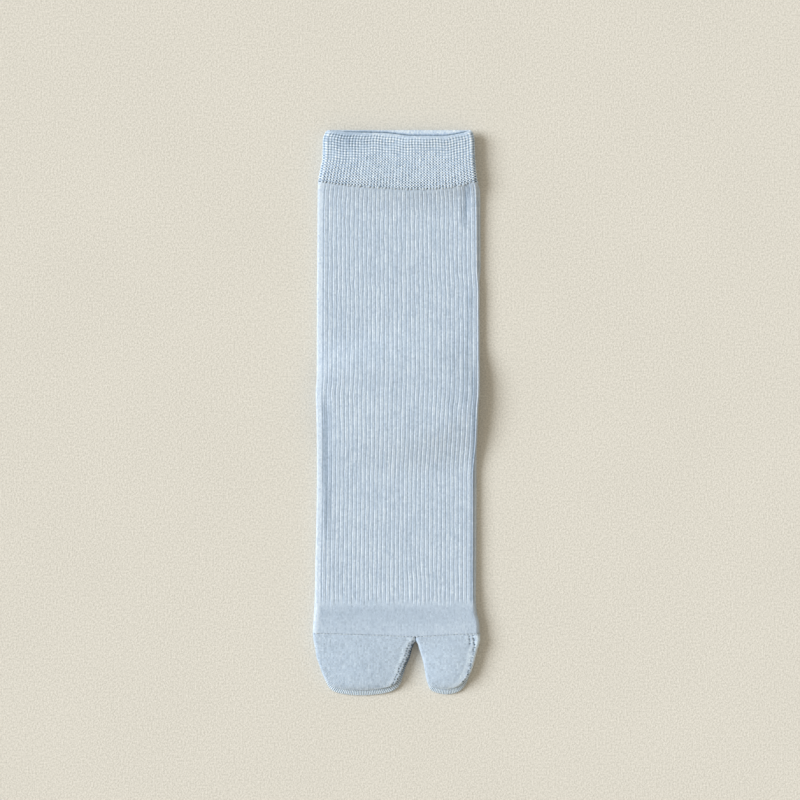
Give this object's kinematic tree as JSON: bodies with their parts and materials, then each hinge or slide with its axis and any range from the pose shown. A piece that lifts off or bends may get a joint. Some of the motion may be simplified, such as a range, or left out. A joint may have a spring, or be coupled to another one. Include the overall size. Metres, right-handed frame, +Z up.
{
  "type": "pair of split-toe socks",
  "caption": "Pair of ribbed knit split-toe socks, stacked flat sole to sole, with double cuffs, folded heels and separate big-toe pockets.",
  "frame": {"origin": "middle of the footprint, on the surface that the pair lies on", "axes": "+Y along the socks towards the cuffs, +X towards the big-toe pockets, +Z up through the stack"},
  "size_m": [0.0956, 0.3216, 0.011],
  "materials": {
    "cuff_knit": "light blue cotton mesh knit, double layer, matt",
    "rib_knit": "light blue cotton rib knit, matt",
    "plain_knit": "light blue cotton plain knit, matt"
  },
  "bodies": {
    "root": {"left_cuff": "cuff_knit", "left_tube": "rib_knit", "left_heel": "plain_knit", "left_toes": "plain_knit", "left_big_toe": "plain_knit", "right_heel": "plain_knit", "right_cuff": "cuff_knit", "right_tube": "rib_knit", "right_toes": "plain_knit", "right_big_toe": "plain_knit"}
  },
  "joints": []
}
